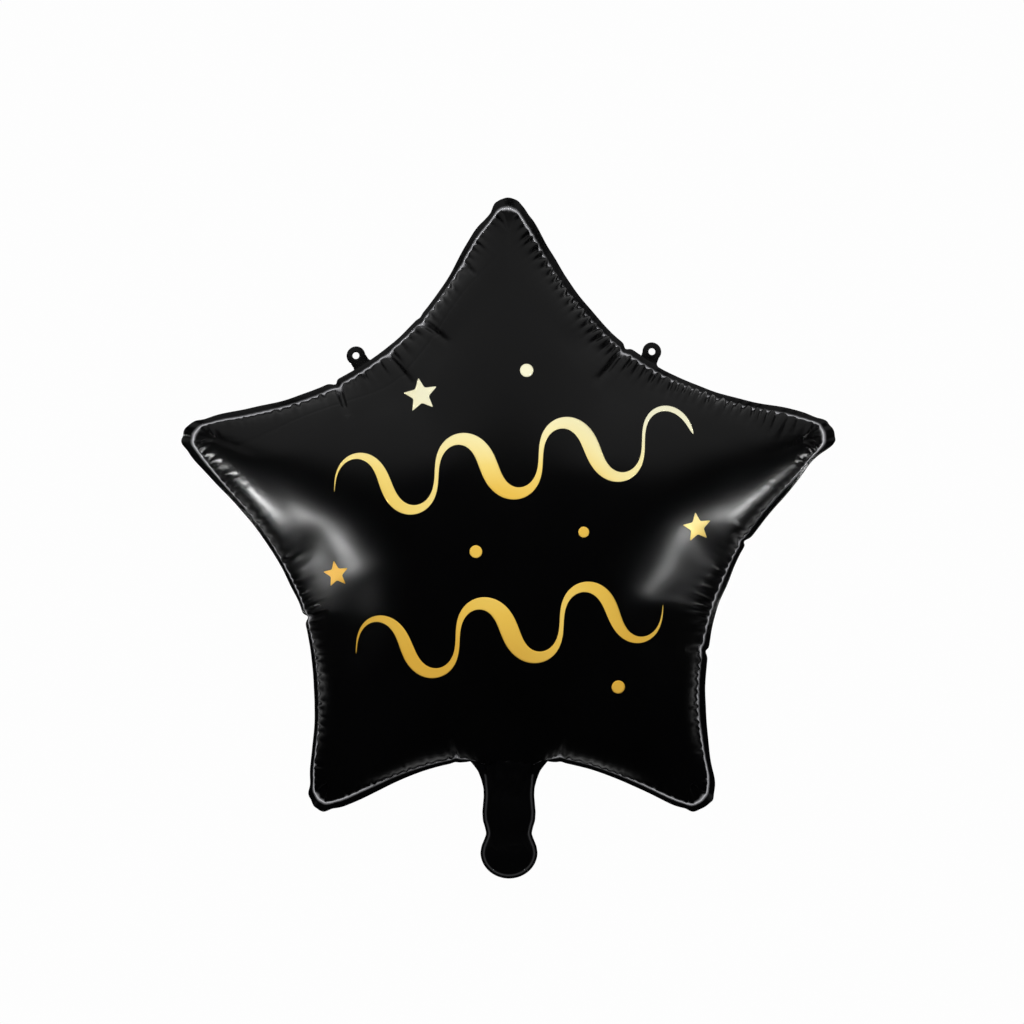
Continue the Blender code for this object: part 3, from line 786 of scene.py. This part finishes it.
def tab_piece(name, tab, materials):
    up = np.array([-math.sin(tab["lean"]), math.cos(tab["lean"])])
    across = np.array([up[1], -up[0]])
    fold = np.array(tab["hole"]) - up * TAB_STEM
    rises = np.linspace(TAB_FOOT, 0.0022, 16)
    side = np.stack([tab_half_width(rises), rises], 1)
    turns = np.radians(np.linspace(-22, 202, 46))
    head = np.stack([TAB_HEAD_RADIUS * np.cos(turns), TAB_STEM + TAB_HEAD_RADIUS * np.sin(turns)], 1)
    loop = np.concatenate([side, head, (side * (-1, 1))[::-1]])
    turns = np.linspace(0, 2 * math.pi, HOLE_STEPS + 1)[:-1]
    hole = np.stack([TAB_HOLE_RADIUS * np.cos(turns), TAB_STEM + TAB_HOLE_RADIUS * np.sin(turns)], 1)
    grid = lattice(0.0008, 0.02)
    grid = grid[inside(grid, loop)]
    gap, _ = to_segments(grid, loop)
    clear = np.hypot(grid[:, 0], grid[:, 1] - TAB_STEM) > TAB_HOLE_RADIUS + 0.0004
    second = (hole - (0, TAB_STEM)) * 1.25 + (0, TAB_STEM)
    grid = grid[(gap > 0.0004) & clear]
    far = np.hypot(grid[:, 0], grid[:, 1] - TAB_STEM)
    grid = grid[far > TAB_HOLE_RADIUS * 1.25 + 0.0004]
    verts, faces = flat_mesh(loop, np.concatenate([hole, second, grid]), HOLE_STEPS)
    from_hole = verts[faces].mean(1) - (0, TAB_STEM)
    kept = faces[np.hypot(*from_hole.T) > TAB_HOLE_RADIUS * 0.985].tolist()
    plan = fold + verts[:, :1] * across + verts[:, 1:] * up
    gap, index = to_segments(plan, WELD_XZ)
    rim_out, weld_out = 0.001 * seam_at(index / HALF_EDGE_FINE)
    width = rim_out - weld_out
    low = flange_y(index / HALF_EDGE_FINE, np.clip(gap / width, 0, 1))
    foot = fold - up * TAB_ROOT
    _, foot_index = to_segments(foot[None], WELD_XZ)
    rim_y = flange_y(foot_index / HALF_EDGE_FINE, np.ones(1))[0]
    rise = verts[:, 1] + TAB_ROOT
    curl = 0.05 * rise + 0.0016 * (rise / 0.012) ** 2 + 0.00025 * np.sin(verts[:, 0] * 420)
    share = smoothstep((verts[:, 1] + 0.0040) / 0.0040)
    middle = low * (1 - share) + (rim_y + curl) * share
    rim_gap, _ = to_segments(verts, loop)
    hole_gap = np.abs(np.hypot(verts[:, 0], verts[:, 1] - TAB_STEM) - TAB_HOLE_RADIUS)
    thick = TAB_FILM * (0.3 + 0.7 * smoothstep(np.minimum(rim_gap, hole_gap) / 0.0004))
    thick = np.where(verts[:, 1] < -TAB_ROOT, np.minimum(thick, 0.00007), thick)
    emboss = 0.00010 * np.exp(-(((hole_gap - 0.0011) / 0.0004) ** 2))
    total = len(verts)
    front = np.stack([plan[:, 0], middle - thick - emboss, plan[:, 1]], 1)
    rear = np.stack([plan[:, 0], middle + thick - emboss, plan[:, 1]], 1)
    spots = np.concatenate([front, rear])
    all_faces = kept + [[v + total for v in f[::-1]] for f in kept]
    uses = []
    for face in kept:
        for k in range(len(face)):
            uses.append((face[k], face[(k + 1) % len(face)]))
    once = set(uses)
    for a, b in uses:
        if (b, a) not in once:
            all_faces.append([b, a, a + total, b + total])
    obj = new_piece(name, spots, all_faces, materials)
    set_floats(obj, "painted_weld_highlight", np.zeros(2 * total))
    centre = np.array([fold[0], 0.0, fold[1] + CENTRE_Z])
    lift = np.array([up[0], 0.0, up[1]])
    return obj, centre - lift * 0.0016, centre + lift * 0.0016


# ---- gold print


INK_TOP = 0.00024  # above the film
INK_UNDER = 0.00004
STREAMER_STEP = 0.0011
STAR_WAIST = 0.45  # a printed star's inner radius as a share of its outer one


def printed_piece(name, plan, rows, columns, star_tree, material, closed_fan=False):
    """Ink on the front film: a grid of (x, z) points laid on the film, with a top and a thin edge."""
    spots, under = [], []
    for x, z in plan:
        at = Vector((x, -0.3, z + CENTRE_Z))
        place, normal, _, _ = star_tree.ray_cast(at, Vector((0, 1, 0)))
        spots.append(place + normal * INK_TOP)
        under.append(place + normal * INK_UNDER)
    count = len(spots)
    verts = np.array([tuple(v) for v in spots + under])
    verts[:, 2] -= CENTRE_Z
    faces = []
    if closed_fan:
        for row in range(rows - 1):
            for column in range(columns):
                a = 1 + row * columns + column
                b = 1 + row * columns + (column + 1) % columns
                faces.append([a, a + columns, b + columns, b])
        faces += [[0, 1 + k, 1 + (k + 1) % columns] for k in range(columns)]
        last = 1 + (rows - 1) * columns
        rim = [last + k for k in range(columns)]
    else:
        for row in range(rows - 1):
            for column in range(columns - 1):
                a = row * columns + column
                faces.append([a, a + columns, a + columns + 1, a + 1])
        top = list(range(columns))
        bottom = [(rows - 1) * columns + k for k in range(columns)]
        left = [row * columns for row in range(rows)]
        right = [row * columns + columns - 1 for row in range(rows)]
        rim = left + bottom[1:] + right[::-1][1:] + top[::-1][1:-1]
    solid = list(faces) + [[v + count for v in f[::-1]] for f in faces]
    for k in range(len(rim)):
        a, b = rim[k], rim[(k + 1) % len(rim)]
        solid.append([b, a, a + count, b + count])
    obj = new_piece(name, verts, solid, [material])
    bm = bmesh.new()
    bm.from_mesh(obj.data)
    bmesh.ops.recalc_face_normals(bm, faces=bm.faces)
    bm.to_mesh(obj.data)
    bm.free()
    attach(obj, "envelope")
    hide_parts(name)
    return obj


def streamer(name, start, waves, wave_length, widest, star_tree, material):
    steps = round(waves * wave_length / STREAMER_STEP)
    place = np.array(start)
    plan = []
    across = np.linspace(-1, 1, 10)
    for k in range(steps + 1):
        share = k / steps
        swing = math.cos(2 * math.pi * waves * share)
        heading = PRINT_RISE + STREAMER_SWING * swing
        taper = max(max(0.0, math.sin(math.pi * share)) ** 0.5, 0.12)
        end = math.sqrt(min(1.0, min(share, 1 - share) * steps / 2))
        half = widest / 2 * taper * (0.62 - 0.38 * swing) * max(end, 0.15)
        plan += [place + polar(1, heading + math.pi / 2) * half * s for s in across]
        place = place + polar(waves * wave_length / steps, heading)
    return printed_piece(name, plan, steps + 1, len(across), star_tree, material)


def printed_fan(name, x, z, rim, rows, star_tree, material):
    """A print made of rings of points that grow from its middle to its rim."""
    plan = [np.array([x, z])]
    for row in range(1, rows + 1):
        plan += list(rim * row / rows + (x, z))
    return printed_piece(name, plan, rows, len(rim), star_tree, material, closed_fan=True)


def printed_star(name, x, z, radius, star_tree, material):
    top = math.pi / 2 + PRINT_RISE
    corners = []
    for k in range(POINTS):
        corners.append(polar(radius, top + SECTOR * k))
        corners.append(polar(radius * STAR_WAIST, top + SECTOR * (k + 0.5)))
    corners = np.array(corners)
    rim = np.concatenate([np.linspace(corners[k], corners[(k + 1) % 10], 8)[:-1] for k in range(10)])
    rounded_rim = (np.roll(rim, 1, axis=0) + 2 * rim + np.roll(rim, -1, axis=0)) / 4
    return printed_fan(name, x, z, rounded_rim, 9, star_tree, material)


def printed_dot(name, x, z, radius, star_tree, material):
    turns = np.linspace(0, 2 * math.pi, 41)[:-1]
    rim = np.stack([np.cos(turns), np.sin(turns)], 1) * radius
    return printed_fan(name, x, z, rim, 4, star_tree, material)


# ---- materials


class Nodes:
    """Short calls for building the nodes of one material or of the world."""

    def __init__(self, owner):
        owner.use_nodes = True
        self.owner = owner
        self.tree = owner.node_tree
        self.shader = self.tree.nodes.get("Principled BSDF")

    def add(self, kind, inputs=None, **settings):
        node = self.tree.nodes.new(kind)
        for key, value in settings.items():
            setattr(node, key, value)
        for key, value in (inputs or {}).items():
            self.feed(node.inputs[key], value)
        return node

    def feed(self, socket, value):
        if isinstance(value, bpy.types.NodeSocket):
            self.tree.links.new(value, socket)
        else:
            socket.default_value = value

    def set(self, **values):
        for key, value in values.items():
            self.feed(self.shader.inputs[key.replace("_", " ")], value)

    def place(self):
        return self.add("ShaderNodeTexCoord").outputs["Object"]

    def noise(self, scale, detail):
        inputs = {"Vector": self.place(), "Scale": scale, "Detail": detail}
        return self.add("ShaderNodeTexNoise", inputs).outputs["Fac"]

    def combine(self, operation, first, second):
        return self.add("ShaderNodeMath", {0: first, 1: second}, operation=operation).outputs["Value"]

    def ramp(self, value, stops):
        node = self.add("ShaderNodeValToRGB", {"Fac": value})
        ramp = node.color_ramp
        while len(ramp.elements) < len(stops):
            ramp.elements.new(0.5)
        for element, (at, colour) in zip(ramp.elements, stops):
            element.position = at
            element.color = (*colour, 1)
        return node.outputs["Color"]

    def spread(self, value, low, high, start=0.0, end=1.0, **settings):
        """Maps start..end to low..high."""
        inputs = {"Value": value, "From Min": start, "From Max": end, "To Min": low, "To Max": high}
        return self.add("ShaderNodeMapRange", inputs, **settings).outputs["Result"]

    def bump(self, value, strength, distance, normal=None):
        inputs = {"Height": value, "Strength": strength, "Distance": distance}
        if normal is not None:
            inputs["Normal"] = normal
        return self.add("ShaderNodeBump", inputs).outputs["Normal"]


def black_film(name, smoothest, roughest, bump, painted_highlight_colour):
    """Metallised film with a satin black coat, with a painted highlight: the base colour turns grey along the
    weld line where a point attribute says so.
    """
    nodes = Nodes(bpy.data.materials.new(name))
    wide = nodes.noise(14, 3)
    fine = nodes.noise(900, 3)
    # Painted highlight: the weld's light line, mixed into the black by this attribute.
    painted_weld_highlight = nodes.add("ShaderNodeAttribute", attribute_name="painted_weld_highlight").outputs["Fac"]
    black = nodes.ramp(wide, [(0.3, (0.0005, 0.0005, 0.0006)), (0.7, (0.0009, 0.0009, 0.0011))])
    mixed = nodes.add("ShaderNodeMix", data_type="RGBA")
    nodes.feed(mixed.inputs["Factor"], painted_weld_highlight)
    nodes.feed(mixed.inputs["A"], black)
    nodes.feed(mixed.inputs["B"], painted_highlight_colour)
    grain = nodes.spread(nodes.noise(60, 4), smoothest, roughest)
    first = nodes.bump(nodes.noise(240, 4), bump, 0.0002)
    nodes.set(Base_Color=mixed.outputs["Result"], Roughness=grain, IOR=1.52,
              Normal=nodes.bump(fine, 0.04, 0.00005, first))
    return nodes.owner


def gold_ink_and_painted_sheen():
    """Gold foil print, with a painted reflection: it runs from deep gold low down to pale cream higher up and
    towards the right.
    """
    nodes = Nodes(bpy.data.materials.new("gold_print_ink_and_painted_sheen"))
    spot = nodes.add("ShaderNodeSeparateXYZ", {"Vector": nodes.place()})
    # Painted reflection: the shade of gold follows height, a little of x and noise, paler where higher.
    height = nodes.combine("MULTIPLY", spot.outputs["Z"], 5.5)
    lean = nodes.combine("MULTIPLY", spot.outputs["X"], 1.2)
    wander = nodes.combine("MULTIPLY", nodes.noise(9, 1), 1.7)
    total = nodes.combine("ADD", nodes.combine("ADD", height, lean), wander)
    share = nodes.spread(total, 0.0, 1.0, -0.35, 0.75)
    gold = nodes.ramp(share, [
        (0.0, (0.80, 0.46, 0.055)),
        (0.30, (0.89, 0.57, 0.09)),
        (0.52, (0.95, 0.72, 0.20)),
        (0.72, (0.98, 0.87, 0.44)),
        (1.0, (1.0, 0.96, 0.68)),
    ])
    speckle = nodes.noise(700, 3)
    nodes.set(Base_Color=gold, Metallic=0.2, Roughness=nodes.spread(speckle, 0.26, 0.42),
              Normal=nodes.bump(nodes.noise(260, 3), 0.10, 0.0002))
    return nodes.owner


def valve_film_material():
    nodes = Nodes(bpy.data.materials.new("clear_valve_film_look"))
    cloud = nodes.noise(180, 4)
    nodes.set(Base_Color=nodes.ramp(cloud, [(0.3, (0.62, 0.66, 0.68)), (0.7, (0.80, 0.83, 0.85))]),
              Roughness=nodes.spread(cloud, 0.12, 0.3), Alpha=0.45, IOR=1.5,
              Normal=nodes.bump(nodes.noise(500, 3), 0.3, 0.0003))
    return nodes.owner


# ---- the balloon


def build_balloon():
    # The last colour of each film is the grey of its painted weld highlight.
    body = black_film("black_film_body", 0.26, 0.34, 0.05, (0.30, 0.30, 0.31, 1))
    flange = black_film("black_film_flange", 0.27, 0.40, 0.08, (0.50, 0.50, 0.52, 1))
    gold = gold_ink_and_painted_sheen()
    valve = valve_film_material()
    fine = fine_flat_film()
    trees = {}
    for name, side, seed, node in (("film_front", -1, 1, "front_panel"), ("film_rear", 1, 2, "rear_panel")):
        film = film_piece(name, side, seed, fine, [body, flange])
        trees[side] = surface_tree(film)
        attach(film, "envelope")
        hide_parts(node)
    tails = (("tail_front", -1, 3, "tail_front_film"), ("tail_rear", 1, 4, "tail_rear_film"))
    for name, side, seed, node in tails:
        tail = tail_piece(name, side, seed, trees[side], [flange])
        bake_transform(tail)
        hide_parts(node)
    for which, tab in TABS.items():
        piece, start, end = tab_piece("tab_" + which, tab, [flange])
        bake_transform(piece)
        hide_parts("hanging_tab_" + which)
    for name, facts in STREAMERS.items():
        streamer("print_streamer_" + name, star_tree=trees[-1], material=gold, **facts)
    for number, facts in enumerate(PRINTED_STARS, 1):
        printed_star(f"print_star_{number}", *facts, trees[-1], gold)
    for number, facts in enumerate(PRINTED_DOTS, 1):
        printed_dot(f"print_dot_{number}", *facts, trees[-1], gold)
    for name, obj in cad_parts.items():
        if name.startswith("valve_"):
            for slot in obj.material_slots:
                slot.material = valve
            if not obj.material_slots:
                obj.data.materials.append(valve)


# ---- floor, light and camera


FLOOR_RADIUS = 2.1
FLOOR_HEIGHT = -1.35
# Strips that light one side point each, from the star's centre: place, aim and watts
STRIPS = {
    "left_strip": ((-1.25, -0.25, -0.50), (-0.205, -0.03, 0.070), 0.045),
    "right_strip": ((1.25, -0.25, -0.50), (0.200, -0.03, 0.075), 0.030),
}
STRIP_SIZE = (0.12, 0.2)
STRIP_SPREAD = math.radians(10)
FILL_PLACE = (0.0, -2.6, 0.9)
FILL_SIZE = (1.6, 1.0)
FILL_POWER = 78
WHITE = (1, 1, 1, 1)
WALL_SEEN = 0.985
# The wall as the film mirrors it, bright only behind and above: its least and greatest strength, and the
# directions, as a part of the unit vector, between which it grows from one to the other
BEHIND = (0.007, 0.95, 0.50, 0.98)
OVERHEAD = (0.0, 0.27, 0.22, 0.66)
CAMERA_PLACE = (0.0021, -1.684, 0.0164)  # from the star's centre
CAMERA_LENS = 85
SENSOR_WIDTH = 36


def from_centre(place):
    return Vector((place[0], place[1], place[2] + CENTRE_Z))


def soft_light(name, place, aim, size, power):
    light = bpy.data.lights.new(name, "AREA")
    light.shape = "RECTANGLE"
    light.size, light.size_y = size
    light.energy = power
    obj = bpy.data.objects.new(name, light)
    obj.location = from_centre(place)
    obj.rotation_euler = (from_centre(aim) - from_centre(place)).to_track_quat("-Z", "Y").to_euler()
    bpy.context.scene.collection.objects.link(obj)
    return obj


def pale_floor():
    bm = bmesh.new()
    bmesh.ops.create_circle(bm, cap_ends=True, segments=96, radius=FLOOR_RADIUS)
    mesh = bpy.data.meshes.new("studio_floor")
    bm.to_mesh(mesh)
    bm.free()
    floor = bpy.data.objects.new("studio_floor", mesh)
    floor.location = (0, 0, FLOOR_HEIGHT)
    paint = Nodes(bpy.data.materials.new("pale_floor"))
    grey = paint.ramp(paint.noise(3, 2), [(0.3, (0.86, 0.86, 0.86)), (0.7, (0.9, 0.9, 0.9))])
    paint.set(Base_Color=grey, Roughness=0.8)
    mesh.materials.append(paint.owner)
    bpy.context.scene.collection.objects.link(floor)
    floor.visible_glossy = False


def pale_wall():
    """The world: one brightness as the camera sees it, another as it lights the film."""
    nodes = Nodes(bpy.data.worlds.new("studio"))
    bpy.context.scene.world = nodes.owner
    nodes.tree.nodes.clear()
    direction = nodes.add("ShaderNodeTexCoord").outputs["Generated"]
    split = nodes.add("ShaderNodeSeparateXYZ", {"Vector": direction}).outputs
    behind = nodes.spread(split["Y"], *BEHIND, interpolation_type="SMOOTHSTEP")
    overhead = nodes.spread(split["Z"], *OVERHEAD, interpolation_type="SMOOTHSTEP")
    strength = nodes.combine("MAXIMUM", behind, overhead)
    cast = nodes.add("ShaderNodeBackground", {"Color": WHITE, "Strength": strength}).outputs["Background"]
    seen = nodes.add("ShaderNodeBackground", {"Color": WHITE, "Strength": WALL_SEEN}).outputs["Background"]
    by_camera = nodes.add("ShaderNodeLightPath").outputs["Is Camera Ray"]
    mixed = nodes.add("ShaderNodeMixShader", {"Fac": by_camera, 1: cast, 2: seen}).outputs["Shader"]
    nodes.add("ShaderNodeOutputWorld", {"Surface": mixed})


def studio():
    pale_floor()
    bpy.context.scene.view_settings.view_transform = "Standard"
    pale_wall()
    for name, (place, aim, power) in STRIPS.items():
        soft_light(name, place, aim, STRIP_SIZE, power).data.spread = STRIP_SPREAD
    soft_light("front_fill", FILL_PLACE, (0, 0, 0), FILL_SIZE, FILL_POWER).visible_glossy = False


def camera():
    data = bpy.data.cameras.new("camera")
    data.lens = CAMERA_LENS
    data.sensor_width = SENSOR_WIDTH
    obj = bpy.data.objects.new("camera", data)
    obj.location = from_centre(CAMERA_PLACE)
    obj.rotation_euler = (math.pi / 2, 0, 0)
    bpy.context.scene.collection.objects.link(obj)
    bpy.context.scene.camera = obj


camera()
studio()
build_balloon()
